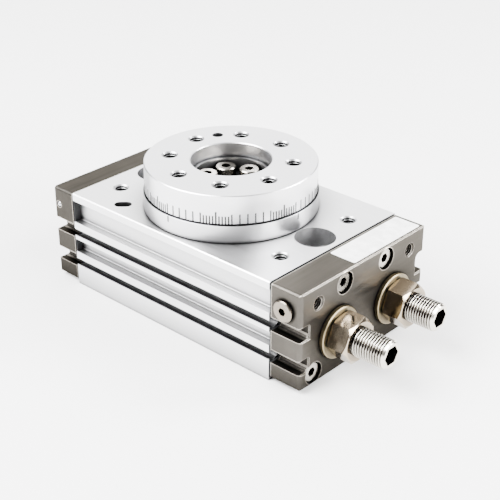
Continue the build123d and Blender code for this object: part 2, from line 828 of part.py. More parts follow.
def lock_nut(turn):
    """A hexagon nut with both ends turned to a cone, lying on the XY plane."""
    corner_radius = nut_across_flats / 2 / math.cos(math.pi / hexagon_sides)
    with BuildPart() as nut:
        with BuildSketch():
            add(hexagon(nut_across_flats, turn))
        extrude(amount=nut_thickness)
        revolve(turned_face([(bolt_radius + bolt_play, 0), (nut_face_radius, 0),
                             (corner_radius, nut_chamfer_height),
                             (corner_radius, nut_thickness - nut_chamfer_height),
                             (nut_face_radius, nut_thickness), (bolt_radius + bolt_play, nut_thickness)]),
                axis=Axis.Z, mode=Mode.INTERSECT)
    return nut.part


def make_lock_nuts():
    with BuildPart(ALONG.offset(nut_seat)) as nuts:
        for side, turn in ((LEFT, left_nut_turn), (RIGHT, right_nut_turn)):
            with Locations((side * piston_offset, piston_height)):
                add(lock_nut(turn))
    save(nuts.part, "lock_nuts")


def make_seal_washers():
    """Each seal washer is a metal ring with a rubber ring bonded inside it."""
    for name, outer, inner in (("seal_washer_rings", washer_radius, washer_rubber_radius),
                               ("seal_washer_rubbers", washer_rubber_radius, bolt_radius + bolt_play)):
        with BuildPart() as washers:
            with BuildSketch(ALONG.offset(near_end)):
                with Locations(*piston_places()):
                    Circle(outer)
                    Circle(inner, mode=Mode.SUBTRACT)
            extrude(amount=washer_thickness)
            if outer == washer_radius:
                circles = washers.edges().filter_by(GeomType.CIRCLE)
                outer_edges = circles.filter_by(lambda edge: abs(edge.radius - washer_radius) < same_radius)
                chamfer(outer_edges, ring_chamfer)
        save(washers.part, name)


# Plugs
def make_side_plug():
    """The plug that closes the spare air port on the left side of the near cover."""
    head_seat = half_width + plug_gasket_thickness
    with BuildPart() as plug:
        with BuildSketch(Plane.XZ.offset(head_seat)):
            with Locations((plug_x, plug_height)):
                Circle(plug_head_radius)
        extrude(amount=plug_head_thickness)
        chamfer(plug.edges().group_by(Axis.Y)[0], ring_chamfer)
        with BuildSketch(Plane.XZ.offset(head_seat)):
            with Locations((plug_x, plug_height)):
                Circle(port_radius - press_play)
        extrude(amount=-(plug_shank_length + plug_gasket_thickness))
        with BuildSketch(Plane.XZ.offset(head_seat + plug_head_thickness)):
            with Locations((plug_x, plug_height)):
                add(hexagon(plug_socket))
        extrude(amount=-(plug_head_thickness + plug_socket_depth), mode=Mode.SUBTRACT)
    save(plug.part, "side_port_plug")
    with BuildPart() as gasket:
        with BuildSketch(Plane.XZ.offset(half_width)):
            with Locations((plug_x, plug_height)):
                Circle(plug_gasket_radius)
                Circle(port_radius, mode=Mode.SUBTRACT)
        extrude(amount=plug_gasket_thickness)
    save(gasket.part, "side_plug_gasket")


def make_ball_plug():
    """The steel ball pressed into the mouth of the far cover's drilled passage."""
    with BuildPart() as ball:
        with Locations((far_end + ball_plug_inset, -half_width + ball_plug_sink, ball_plug_height)):
            Sphere(ball_plug_radius - press_play)
    save(ball.part, "ball_plug")


make_body()
make_gasket("near_gasket", ALONG.offset(body_near_face), near_gasket_thickness)
make_gasket("far_gasket", ALONG.offset(-cover_seat), far_gasket_thickness)
make_near_cover()
make_far_cover()
head_depth = m4_head_height + head_sink
make_cover_screws("near_cover_screws", near_end - head_depth, 1, near_end - head_depth - body_near_face)
make_cover_screws("far_cover_screws", far_end + head_depth, -1, body_far_face - far_end - head_depth)
make_retainer()
make_retainer_screws()
make_table()
make_table_screws()
make_parallel_pin()
make_pinion()
make_bearing("top_bearing", top_bearing_bore, top_bearing_outer, top_bearing_low, top_bearing_width,
             top_ball_radius, top_ball_count)
make_bearing("lower_bearing", low_bearing_bore, low_bearing_outer, floor_thickness, low_bearing_width,
             low_ball_radius, low_ball_count)
for piston_name, piston_side in (("left_piston", LEFT), ("right_piston", RIGHT)):
    make_piston(piston_name, piston_side)
    make_piston_rings(piston_name, piston_side)
make_adjusting_bolt("left_adjusting_bolt", LEFT, left_bolt_protrusion)
make_adjusting_bolt("right_adjusting_bolt", RIGHT, right_bolt_protrusion)
make_lock_nuts()
make_seal_washers()
make_side_plug()
make_ball_plug()
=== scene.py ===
import math

import bmesh
import bpy
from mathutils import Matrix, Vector


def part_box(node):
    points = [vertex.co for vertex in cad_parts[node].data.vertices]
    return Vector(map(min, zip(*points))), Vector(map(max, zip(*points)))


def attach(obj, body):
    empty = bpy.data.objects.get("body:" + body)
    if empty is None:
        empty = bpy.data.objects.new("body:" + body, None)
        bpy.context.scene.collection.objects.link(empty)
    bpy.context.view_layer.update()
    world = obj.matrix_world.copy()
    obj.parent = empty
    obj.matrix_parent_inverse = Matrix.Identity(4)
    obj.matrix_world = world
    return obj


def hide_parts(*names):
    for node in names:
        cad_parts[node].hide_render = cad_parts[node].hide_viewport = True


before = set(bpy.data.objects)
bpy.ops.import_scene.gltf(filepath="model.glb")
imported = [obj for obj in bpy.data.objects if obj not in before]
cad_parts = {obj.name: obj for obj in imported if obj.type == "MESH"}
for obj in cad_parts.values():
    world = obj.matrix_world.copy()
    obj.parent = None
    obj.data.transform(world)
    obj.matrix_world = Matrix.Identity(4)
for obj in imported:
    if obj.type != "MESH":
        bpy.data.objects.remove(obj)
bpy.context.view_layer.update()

MM = 0.001


# Sizes that the fine detail follows, in millimetres and degrees


def corners(node):
    """The lowest and highest corners of a solid at rest, in millimetres."""
    low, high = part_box(node)
    return Vector(low) / MM, Vector(high) / MM


def highest(node):
    """The highest corner of a solid at rest, in millimetres."""
    return corners(node)[1]


TABLE_RADIUS = highest("rotary_table").x
TABLE_TOP = highest("rotary_table").z
TABLE_THICKNESS = 10.0
TABLE_UNDERSIDE = TABLE_TOP - TABLE_THICKNESS
RETAINER_RADIUS = highest("bearing_retainer").x
RETAINER_TOP = highest("bearing_retainer").z
BODY_TOP = highest("body").z
COVER_TOP = highest("near_cover").z
COVER_SIDE = highest("near_cover").y
NEAR_END = highest("near_cover").x

REST_ANGLE = -11.3
TABLE_HOLE_COUNT = 8
EIGHTH = 360 / TABLE_HOLE_COUNT
TABLE_HOLE_CIRCLE = 43.0
TABLE_HOLE_DEPTH = 8.0
BODY_THREAD_SPACING_X = 76.0
BODY_THREAD_SPACING_Y = 35.0
BODY_THREAD_DEPTH = 9.0
PORT_INSET = 8.7
PORT_HEIGHT = 30.2
PORT_DEPTH = 8.5
HOLE_MOUTH = 0.5


# Values that the finishes share, with reaches and heights in metres

# Painted shade in hollows, in seams and between parts, as (darkness power, reach) pairs
BODY_HOLLOW_SHADE = (1.3, 0.010)
TABLE_HOLLOW_SHADE = (1.6, 0.016)
NICKEL_HOLLOW_SHADE = (2.0, 0.012)
SEAM_SHADE = (1.3, 0.0012)
TABLE_SEAM_SHADE = (2.6, 0.0013)
SCREW_PAINTED_SHADE = ((2.6, 0.003), (1.4, 0.0008))
BOLT_PAINTED_SHADE = ((1.4, 0.007), (2.2, 0.0012))
LIGHT_PAINTED_SHADE = ((1.3, 0.004),)
# Painted highlight along the cover edges: its colour, its reach and the likeness range where it fades out
EDGE_HIGHLIGHT_COLOUR = (0.62, 0.57, 0.50)
EDGE_HIGHLIGHT_RADIUS = 0.0006
EDGE_HIGHLIGHT_LIKENESS = 0.80
NO_HIGHLIGHT_LIKENESS = 0.97
# Painted shadow in the seam between the table and the retainer: its colour, the softness of its edge and how
# far below the retainer's top it starts
SEAM_SHADOW_COLOUR = (0.02, 0.02, 0.022)
SEAM_SHADOW_SOFTNESS = 0.00003
SEAM_SHADOW_BAND = 0.24 * MM
RELIEF = 0.00001
DIE_LINES = (0.02, 1, 1)
BRUSHED_ALONG_Y = (1, 0.05, 1)
RAY_SAMPLES = 6
MIX_SHARE = 0
MIX_FIRST = 6
MIX_SECOND = 7
MIX_RESULT = 2


def shade(colour, share):
    """A darker shade of a colour."""
    return tuple(share * value for value in colour)


def opaque(value):
    """A colour with its opacity, or a number as it is."""
    return (*value, 1.0) if isinstance(value, tuple) else value


class Finish:
    """A procedural finish, built node by node around one Principled shader."""

    def __init__(self, name):
        self.material = bpy.data.materials.new(name)
        self.material.use_nodes = True
        self.tree = self.material.node_tree
        self.shader = self.tree.nodes["Principled BSDF"]
        self.place = self.tree.nodes.new("ShaderNodeTexCoord").outputs["Object"]

    def plain(self, **values):
        """Values that are the same all over the surface."""
        for key, value in values.items():
            self.shader.inputs[key.replace("_", " ")].default_value = opaque(value)

    def node(self, kind, **settings):
        """A node, with values for its inputs and its other settings."""
        node = self.tree.nodes.new(kind)
        for key, value in settings.items():
            if key in node.inputs:
                node.inputs[key].default_value = value
            else:
                setattr(node, key, value)
        return node

    def link(self, start, end):
        self.tree.links.new(start, end)

    def noise(self, scale, detail=2.0, stretch=(1, 1, 1)):
        """Noise on the piece's own coordinates, stretched by a different factor along each axis."""
        mapping = self.node("ShaderNodeMapping", Scale=stretch)
        self.link(self.place, mapping.inputs["Vector"])
        noise = self.node("ShaderNodeTexNoise", Scale=scale, Detail=detail)
        self.link(mapping.outputs["Vector"], noise.inputs["Vector"])
        return noise.outputs["Fac"]

    def mix(self, share, first, second, blend="MIX"):
        """Two colours in one, each given as a colour or as another node's output."""
        mix = self.node("ShaderNodeMix", data_type="RGBA", blend_type=blend)
        for index, value in ((MIX_SHARE, share), (MIX_FIRST, first), (MIX_SECOND, second)):
            if isinstance(value, bpy.types.NodeSocket):
                self.link(value, mix.inputs[index])
            else:
                mix.inputs[index].default_value = opaque(value)
        return mix.outputs[MIX_RESULT]

    def ramp(self, source, low, high, start=0.3, end=0.7):
        """Turns a pattern, from start to end, into a number or a colour between low and high."""
        span = self.node("ShaderNodeMapRange")
        span.inputs["From Min"].default_value = start
        span.inputs["From Max"].default_value = end
        self.link(source, span.inputs["Value"])
        if isinstance(low, tuple):
            return self.mix(span.outputs["Result"], low, high)
        span.inputs["To Min"].default_value = low
        span.inputs["To Max"].default_value = high
        return span.outputs["Result"]

    def colour(self, source, *layers):
        """The base colour, with painted shade that darkens it in hollows, in seams and between parts: each
        layer is a (darkness power, reach) pair.
        """
        for painted_shade, reach in layers:
            shelter = self.node("ShaderNodeAmbientOcclusion", samples=RAY_SAMPLES, Distance=reach)
            darkness = self.node("ShaderNodeMath", operation="POWER")
            self.link(shelter.outputs["AO"], darkness.inputs[0])
            darkness.inputs[1].default_value = painted_shade
            source = self.mix(1.0, source, darkness.outputs[0], "MULTIPLY")
        self.link(source, self.shader.inputs["Base Color"])

    def painted_edge_highlight(self, source):
        """The colour, with a painted highlight along the edges, where the rounded normal leaves the flat
        one.
        """
        rounded = self.node("ShaderNodeBevel", samples=RAY_SAMPLES, Radius=EDGE_HIGHLIGHT_RADIUS)
        surface = self.node("ShaderNodeNewGeometry")
        likeness = self.node("ShaderNodeVectorMath", operation="DOT_PRODUCT")
        self.link(rounded.outputs["Normal"], likeness.inputs[0])
        self.link(surface.outputs["True Normal"], likeness.inputs[1])
        highlight = self.ramp(likeness.outputs["Value"], 1.0, 0.0, EDGE_HIGHLIGHT_LIKENESS, NO_HIGHLIGHT_LIKENESS)
        return self.mix(highlight, source, EDGE_HIGHLIGHT_COLOUR)

    def painted_seam_shadow(self, source, height):
        """The colour with a painted shadow, nearly black above one height, in the seam under the table."""
        parts = self.node("ShaderNodeSeparateXYZ")
        self.link(self.place, parts.inputs[0])
        seam = self.ramp(parts.outputs["Z"], 0.0, 1.0, height - SEAM_SHADOW_SOFTNESS, height + SEAM_SHADOW_SOFTNESS)
        return self.mix(seam, source, SEAM_SHADOW_COLOUR)

    def roughness(self, pattern, middle, smoother, rougher):
        """A roughness that follows a pattern, a little to both sides of its middle value."""
        uneven = self.ramp(pattern, middle - smoother, middle + rougher)
        self.link(uneven, self.shader.inputs["Roughness"])

    def bump(self, pattern, strength):
        """A faint relief that follows a pattern."""
        bump = self.node("ShaderNodeBump", Distance=RELIEF, Strength=strength)
        self.link(pattern, bump.inputs["Height"])
        self.link(bump.outputs["Normal"], self.shader.inputs["Normal"])


# Finishes


def anodised_aluminium(name, colour, roughness, seam_shadow_height=None):
    """Fine blasted aluminium with a clear anodised skin, with painted shade in its hollows and seams, and
    with a painted shadow in the seam above one height.
    """
    finish = Finish(name)
    finish.plain(Metallic=1.0)
    tone = finish.noise(scale=35.0, detail=3.0)
    skin = finish.ramp(tone, shade(colour, 0.94), colour)
    if seam_shadow_height:
        skin = finish.painted_seam_shadow(skin, seam_shadow_height)
    finish.colour(skin, TABLE_HOLLOW_SHADE, TABLE_SEAM_SHADE)
    grain = finish.noise(scale=5200.0)
    finish.roughness(grain, roughness, smoother=0.05, rougher=0.06)
    finish.bump(grain, strength=0.35)
    return finish.material


def drawn_aluminium(name, colour, roughness):
    """Extruded and anodised aluminium, with faint die lines along the body and painted shade in its hollows
    and seams.
    """
    finish = Finish(name)
    finish.plain(Metallic=1.0)
    lines = finish.noise(scale=900.0, detail=3.0, stretch=DIE_LINES)
    finish.colour(finish.ramp(lines, shade(colour, 0.93), colour), BODY_HOLLOW_SHADE, SEAM_SHADE)
    finish.roughness(lines, roughness, smoother=0.05, rougher=0.06)
    finish.bump(finish.noise(scale=5200.0), strength=0.3)
    return finish.material


def brushed_nickel(name, colour, roughness):
    """Nickel-plated casting, brushed across, with blotches under the shine, painted shade in its hollows and
    seams, and a painted highlight along its edges.
    """
    finish = Finish(name)
    finish.plain(Metallic=1.0, Specular_Tint=(0.53, 0.52, 0.50))
    blotches = finish.noise(scale=70.0, detail=4.0)
    plating = finish.ramp(blotches, shade(colour, 0.78), colour)
    finish.colour(finish.painted_edge_highlight(plating), NICKEL_HOLLOW_SHADE, SEAM_SHADE)
    strokes = finish.noise(scale=600.0, detail=3.0, stretch=BRUSHED_ALONG_Y)
    finish.roughness(strokes, roughness, smoother=0.07, rougher=0.09)
    finish.bump(strokes, strength=0.15)
    return finish.material


def bright_metal(name, colour, roughness, painted_shade=LIGHT_PAINTED_SHADE):
    """Plated or ground metal with fine wear in its shine, and painted shade in its hollows."""
    finish = Finish(name)
    finish.plain(Metallic=1.0)
    wear = finish.noise(scale=260.0, detail=4.0)
    finish.colour(finish.ramp(wear, shade(colour, 0.86), colour), *painted_shade)
    finish.roughness(wear, roughness, smoother=0.04, rougher=0.07)
    finish.bump(finish.noise(scale=1800.0), strength=0.25)
    return finish.material


def soft_material(name, colour, roughness):
    """Rubber, plastic, ink or film with a faint mottle."""
    finish = Finish(name)
    mottle = finish.noise(scale=400.0, detail=3.0)
    finish.colour(finish.ramp(mottle, shade(colour, 0.75), colour))
    finish.roughness(mottle, roughness, smoother=0.06, rougher=0.06)
    finish.bump(finish.noise(scale=2500.0), strength=0.4)
    return finish.material


# The painted shadow in the seam covers the retainer above this height
seam_height = RETAINER_TOP * MM - SEAM_SHADOW_BAND
body_metal = drawn_aluminium("extruded_aluminium", (0.80, 0.80, 0.81), 0.36)
table_metal = anodised_aluminium("anodised_table", (0.81, 0.81, 0.825), 0.34)
retainer_metal = anodised_aluminium("anodised_retainer", (0.76, 0.76, 0.775), 0.34, seam_height)
cover_metal = brushed_nickel("cover_nickel", (0.080, 0.0735, 0.0645), 0.42)
# The far cover has the same nickel plating as the near one, painted darker as shade
shaded_far_cover_metal = brushed_nickel("far_cover_nickel_painted_shade", (0.053, 0.049, 0.0435), 0.42)
screw_metal = bright_metal("screw_nickel", (0.54, 0.505, 0.45), 0.22, SCREW_PAINTED_SHADE)
bolt_metal = bright_metal("bolt_nickel", (0.70, 0.655, 0.575), 0.15, BOLT_PAINTED_SHADE)
nut_metal = bright_metal("nut_nickel", (0.40, 0.33, 0.245), 0.14)
plug_metal = bright_metal("plug_nickel", (0.22, 0.19, 0.155), 0.24, SCREW_PAINTED_SHADE)
washer_metal = bright_metal("washer_yellow_zinc", (0.27, 0.22, 0.13), 0.38)
steel = bright_metal("bearing_steel", (0.60, 0.60, 0.62), 0.20)
cage_metal = bright_metal("pressed_cage_steel", (0.45, 0.43, 0.40), 0.35)
gear_steel = bright_metal("gear_steel", (0.40, 0.40, 0.41), 0.32)
piston_steel = bright_metal("piston_steel", (0.50, 0.50, 0.51), 0.25)
black_rubber = soft_material("black_rubber", (0.012, 0.012, 0.013), 0.62)
wear_plastic = soft_material("wear_ring_plastic", (0.70, 0.66, 0.55), 0.5)
magnet_black = soft_material("magnet_compound", (0.05, 0.05, 0.055), 0.5)
ink = soft_material("graduation_ink", (0.004, 0.004, 0.005), 0.7)
label_film = soft_material("label_film", (0.95, 0.95, 0.95), 0.5)

node_finishes = {
    body_metal: ("body",),
    table_metal: ("rotary_table",),
    retainer_metal: ("bearing_retainer",),
    cover_metal: ("near_cover",),
    shaded_far_cover_metal: ("far_cover",),
    screw_metal: ("retainer_screws", "near_cover_screws", "far_cover_screws", "table_screws"),
    plug_metal: ("side_port_plug",),
    bolt_metal: ("left_adjusting_bolt", "right_adjusting_bolt"),
    nut_metal: ("lock_nuts",),
    washer_metal: ("seal_washer_rings",),
    steel: ("top_bearing_outer_ring", "top_bearing_inner_ring", "top_bearing_balls",
            "lower_bearing_outer_ring", "lower_bearing_inner_ring", "lower_bearing_balls",
            "ball_plug", "parallel_pin"),
    cage_metal: ("top_bearing_cage", "lower_bearing_cage"),
    gear_steel: ("pinion",),
    piston_steel: ("left_piston", "right_piston"),
    black_rubber: ("near_gasket", "far_gasket", "side_plug_gasket", "seal_washer_rubbers",
                   "left_piston_seals", "right_piston_seals"),
    wear_plastic: ("left_piston_wear_rings", "right_piston_wear_rings"),
    magnet_black: ("left_piston_magnet", "right_piston_magnet"),
}
for material, nodes in node_finishes.items():
    for node_name in nodes:
        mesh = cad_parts[node_name].data
        mesh.materials.clear()
        mesh.materials.append(material)


# Helpers for new pieces


MERGE_DISTANCE = 1e-6


def add_piece(name, mesh, body):
    """Puts a mesh in the scene as a piece that rides on one body."""
    piece = bpy.data.objects.new(name, mesh)
    bpy.context.scene.collection.objects.link(piece)
    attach(piece, body)
    return piece


def mesh_from(name, verts, faces, material):
    """A mesh from points in millimetres."""
    mesh = bpy.data.meshes.new(name)
    mesh.from_pydata([Vector(point) * MM for point in verts], [], faces)
    mesh.materials.append(material)
    mesh.validate()
    return mesh


def outward(mesh):
    """Merges doubled points and turns all the faces outwards."""
    shape = bmesh.new()
    shape.from_mesh(mesh)
    bmesh.ops.remove_doubles(shape, verts=shape.verts, dist=MERGE_DISTANCE)
    bmesh.ops.recalc_face_normals(shape, faces=shape.faces)
    shape.to_mesh(mesh)
    shape.free()
    return mesh


def loft(name, rings, material):
    """A closed solid through rings with the same number of points, capped at both ends."""
    count = len(rings[0])
    verts = [point for ring in rings for point in ring]
    last = len(verts) - count
    faces = [tuple(range(count)), tuple(range(last, last + count))]
    for first in range(0, last, count):
        second = first + count
        for corner in range(count):
            following = (corner + 1) % count
            faces.append((first + corner, first + following, second + following, second + corner))
    return outward(mesh_from(name, verts, faces, material))


def quarter_arc(across, up, radius, start, steps):
    """Points on a quarter of a circle about (across, up), from a start angle in degrees."""
    points = []
    for step in range(steps + 1):
        turn = math.radians(start + 90 * step / steps)
        points.append((across + radius * math.cos(turn), up + radius * math.sin(turn)))
    return points


def join(name, meshes):
    """One mesh of several that share their materials."""
    shape = bmesh.new()
    materials = []
    for mesh in meshes:
        for material in mesh.materials:
            if material not in materials:
                materials.append(material)
        shape.from_mesh(mesh)
    joined = bpy.data.meshes.new(name)
    shape.to_mesh(joined)
    shape.free()
    for material in materials:
        joined.materials.append(material)
    for mesh in meshes:
        bpy.data.meshes.remove(mesh)
    return joined


class Tree:
    """A Geometry Nodes tree with named inputs."""

    def __init__(self, name):
        self.group = bpy.data.node_groups.new(name, "GeometryNodeTree")
        for direction in ("INPUT", "OUTPUT"):
            self.group.interface.new_socket("Geometry", in_out=direction, socket_type="NodeSocketGeometry")
        self.start = self.group.nodes.new("NodeGroupInput")
        self.end = self.group.nodes.new("NodeGroupOutput")
        self.sockets = {}

    def number(self, name, kind="NodeSocketFloat"):
        """A named input."""
        socket = self.group.interface.new_socket(name, in_out="INPUT", socket_type=kind)
        self.sockets[name] = socket.identifier
        return self.start.outputs[name]

    def node(self, kind, values=None, **settings):
        """A node with its settings, and its inputs given as numbers or as other nodes' outputs."""
        node = self.group.nodes.new(kind)
        for key, value in settings.items():
            setattr(node, key, value)
        for key, value in (values or {}).items():
            if isinstance(value, bpy.types.NodeSocket):
                self.group.links.new(value, node.inputs[key])
            else:
                node.inputs[key].default_value = value
        return node

    def math(self, operation, first, second=0.0):
        return self.node("ShaderNodeMath", {0: first, 1: second}, operation=operation).outputs[0]

    def finish(self, geometry, material):
        """Ends the tree with real geometry that carries its material."""
        real = self.node("GeometryNodeRealizeInstances", {"Geometry": geometry})
        painted = self.node("GeometryNodeSetMaterial", {"Geometry": real.outputs["Geometry"]})
        painted.inputs["Material"].default_value = material
        self.group.links.new(painted.outputs["Geometry"], self.end.inputs["Geometry"])

    def grow(self, name, values, points=()):
        """Runs the tree on a set of points, in millimetres, and returns the result as a plain mesh."""
        seed = bpy.data.meshes.new(name + "_seed")
        seed.from_pydata([Vector(point) * MM for point in points], [], [])
        carrier = bpy.data.objects.new(name + "_seed", seed)
        bpy.context.scene.collection.objects.link(carrier)
        modifier = carrier.modifiers.new(name, "NODES")
        modifier.node_group = self.group
        for key, value in values.items():
            modifier[self.sockets[key]] = value
        bpy.context.view_layer.update()
        graph = bpy.context.evaluated_depsgraph_get()
        mesh = bpy.data.meshes.new_from_object(carrier.evaluated_get(graph), depsgraph=graph)
        mesh.name = name
        bpy.data.objects.remove(carrier)
        bpy.data.meshes.remove(seed)
        return mesh


# Graduations on the table's rim and index lines on the retainer


def scale_marks_tree():
    """Thin upright marks spaced by a fixed angle round a cylinder."""
    tree = Tree("scale_marks")
    count = tree.number("Count", "NodeSocketInt")
    radius = tree.number("Radius")
    first = tree.number("First Angle")
    step = tree.number("Step Angle")
    foot = tree.number("Foot Height")
    height = tree.number("Mark Height")
    width = tree.number("Mark Width")
    skin = tree.number("Skin")
    points = tree.node("GeometryNodePoints", {"Count": count})
    index = tree.node("GeometryNodeInputIndex").outputs[0]
    angle = tree.math("ADD", first, tree.math("MULTIPLY", index, step))
    x = tree.math("MULTIPLY", radius, tree.math("COSINE", angle))
    y = tree.math("MULTIPLY", radius, tree.math("SINE", angle))
    z = tree.math("ADD", foot, tree.math("DIVIDE", height, 2.0))
    place = tree.node("ShaderNodeCombineXYZ", {"X": x, "Y": y, "Z": z})
    moved = tree.node("GeometryNodeSetPosition", {
        "Geometry": points.outputs[0], "Position": place.outputs[0]})
    size = tree.node("ShaderNodeCombineXYZ", {"X": skin, "Y": width, "Z": height})
    mark = tree.node("GeometryNodeMeshCube", {"Size": size.outputs[0]})
    turn = tree.node("ShaderNodeCombineXYZ", {"Z": angle})
    ring = tree.node("GeometryNodeInstanceOnPoints", {
        "Points": moved.outputs[0], "Instance": mark.outputs["Mesh"], "Rotation": turn.outputs[0]})
    tree.finish(ring.outputs[0], ink)
    return tree


MARK_SKIN = 0.08
FINE_WIDTH = 0.42
LONG_WIDTH = 0.50
INDEX_HEIGHT = 2.2
INDEX_MARGIN = 0.3
INDEX_COUNT = 4

# In each eighth: degrees past its long mark, degrees apart, how many, height and width
SCALE_ROWS = {
    "long": (0, EIGHTH, 1, 4.2, LONG_WIDTH),
    "medium": (10, 5, 6, 3.4, FINE_WIDTH),
    "fine_low": (2, 2, 4, 2.7, FINE_WIDTH),
    "fine_high": (37, 2, 4, 2.7, FINE_WIDTH),
}

marks = scale_marks_tree()


def ring_of_marks(name, radius, first, apart, count, foot, height, width):
    """Marks of one height round a cylinder, with angles in degrees and sizes in millimetres."""
    return marks.grow(name, {
        "Count": count,
        "Radius": radius * MM,
        "First Angle": math.radians(first),
        "Step Angle": math.radians(apart),
        "Foot Height": foot * MM,
        "Mark Height": height * MM,
        "Mark Width": width * MM,
        "Skin": MARK_SKIN * MM,
    })


def rim_graduations():
    """The scale round the table's rim, with a long mark under each tapped hole."""
    rows = []
    for eighth in range(TABLE_HOLE_COUNT):
        long_mark = REST_ANGLE + EIGHTH * eighth
        for name, (past, apart, count, height, width) in SCALE_ROWS.items():
            row = ring_of_marks(name, TABLE_RADIUS, long_mark + past, apart, count, TABLE_UNDERSIDE,
                                height, width)
            rows.append(row)
    return join("rim_graduations", rows)


def index_lines():
    """Four lines at the top of the retainer ring."""
    foot = RETAINER_TOP - INDEX_MARGIN - INDEX_HEIGHT
    apart = 360 / INDEX_COUNT
    return ring_of_marks("index_lines", RETAINER_RADIUS, 0.0, apart, INDEX_COUNT, foot,
                         INDEX_HEIGHT, LONG_WIDTH)


add_piece("rim_graduations", rim_graduations(), "table")
add_piece("retainer_index_lines", index_lines(), "housing")


# Threads in the tapped holes


M6_CORE_RADIUS = 2.5
M6_PITCH = 1.0
M6_RIDGE = 0.32
M5_CORE_RADIUS = 2.1
M5_PITCH = 0.8
M5_RIDGE = 0.26
RIDGE_STANDOUT = 0.2
POINTS_PER_TURN = 24
RIDGE_SIDES = 3
ALONG_X = (0, math.radians(90), 0)


def hole_thread_tree(name, material):
    """A spiral ridge down each hole, one at every given point."""
    tree = Tree(name)
    radius = tree.number("Hole Radius")
    pitch = tree.number("Pitch")
    depth = tree.number("Depth")
    ridge = tree.number("Ridge")
    turn = tree.number("Turn", "NodeSocketVector")
    turns = tree.math("DIVIDE", depth, pitch)
    inner = tree.math("SUBTRACT", radius, tree.math("MULTIPLY", ridge, RIDGE_STANDOUT))
    spiral = tree.node("GeometryNodeCurveSpiral", {
        "Resolution": POINTS_PER_TURN, "Rotations": turns, "Start Radius": inner, "End Radius": inner,
        "Height": depth})
    profile = tree.node("GeometryNodeCurvePrimitiveCircle", {
        "Resolution": RIDGE_SIDES, "Radius": ridge}, mode="RADIUS")
    ridges = tree.node("GeometryNodeCurveToMesh", {
        "Curve": spiral.outputs[0], "Profile Curve": profile.outputs[0], "Fill Caps": True})
    placed = tree.node("GeometryNodeInstanceOnPoints", {
        "Points": tree.start.outputs["Geometry"], "Instance": ridges.outputs[0], "Rotation": turn})
    tree.finish(placed.outputs[0], material)
    return tree


def hole_threads(name, material, feet, radius, depth, pitch, ridge, turn=(0, 0, 0)):
    """Threads of one size that start at the foot of each hole and stop short of its mouth."""
    values = {
        "Hole Radius": radius * MM,
        "Pitch": pitch * MM,
        "Depth": (depth - HOLE_MOUTH) * MM,
        "Ridge": ridge * MM,
        "Turn": turn,
    }
    return hole_thread_tree(name, material).grow(name, values, feet)


def table_hole_feet():
    """The foot of each tapped hole on the table's circle."""
    feet = []
    for hole in range(TABLE_HOLE_COUNT):
        bearing = math.radians(REST_ANGLE + EIGHTH * hole)
        x = TABLE_HOLE_CIRCLE / 2 * math.cos(bearing)
        y = TABLE_HOLE_CIRCLE / 2 * math.sin(bearing)
        feet.append((x, y, TABLE_TOP - TABLE_HOLE_DEPTH))
    return feet


def body_hole_feet():
    """The foot of each of the four tapped holes in the body's top."""
    x = BODY_THREAD_SPACING_X / 2
    y = BODY_THREAD_SPACING_Y / 2
    return [(x * end, y * side, BODY_TOP - BODY_THREAD_DEPTH) for end in (-1, 1) for side in (-1, 1)]


def port_feet():
    """The foot of each air port in the near cover."""
    y = COVER_SIDE - PORT_INSET
    return [(NEAR_END - PORT_DEPTH, y * side, PORT_HEIGHT) for side in (-1, 1)]


table_threads = hole_threads("table_hole_threads", table_metal, table_hole_feet(), M6_CORE_RADIUS,
                             TABLE_HOLE_DEPTH, M6_PITCH, M6_RIDGE)
body_threads = hole_threads("body_hole_threads", body_metal, body_hole_feet(), M6_CORE_RADIUS,
                            BODY_THREAD_DEPTH, M6_PITCH, M6_RIDGE)
port_threads = hole_threads("port_threads", cover_metal, port_feet(), M5_CORE_RADIUS,
                            PORT_DEPTH, M5_PITCH, M5_RIDGE, ALONG_X)
add_piece("table_hole_threads", table_threads, "table")
add_piece("body_hole_threads", body_threads, "housing")
add_piece("port_threads", port_threads, "housing")


# Adjusting bolts with their rolled thread


BOLT_PITCH = 1.0
BOLT_THREAD_DEPTH = 0.55
BOLT_CHAMFER = 0.8
BOLT_SOCKET = 6.0
BOLT_SOCKET_DEPTH = 5.0
BOLT_SIDES = 72
ROWS_PER_PITCH = 10
FLANK_STEEPNESS = 1.25
ROOT_SHARE = 0.12
BOLT_TURNS = [2 * math.pi * side / BOLT_SIDES for side in range(BOLT_SIDES)]


def thread_radius(bolt_radius, end_room, phase):
    """The radius at one point of the thread, smaller near an end, where phase is its share of a pitch."""
    limit = bolt_radius - max(0.0, BOLT_CHAMFER - end_room)
    from_root = abs(2 * phase - 1)
    crest = min(1.0, max(0.0, FLANK_STEEPNESS * from_root - ROOT_SHARE))
    return min(limit, bolt_radius - BOLT_THREAD_DEPTH * (1 - crest))


def hexagon_radius(turn):
    """The distance from the bolt's axis to the wall of its socket."""
    wedge = turn % (math.pi / 3) - math.pi / 6
    return BOLT_SOCKET / 2 / math.cos(wedge)


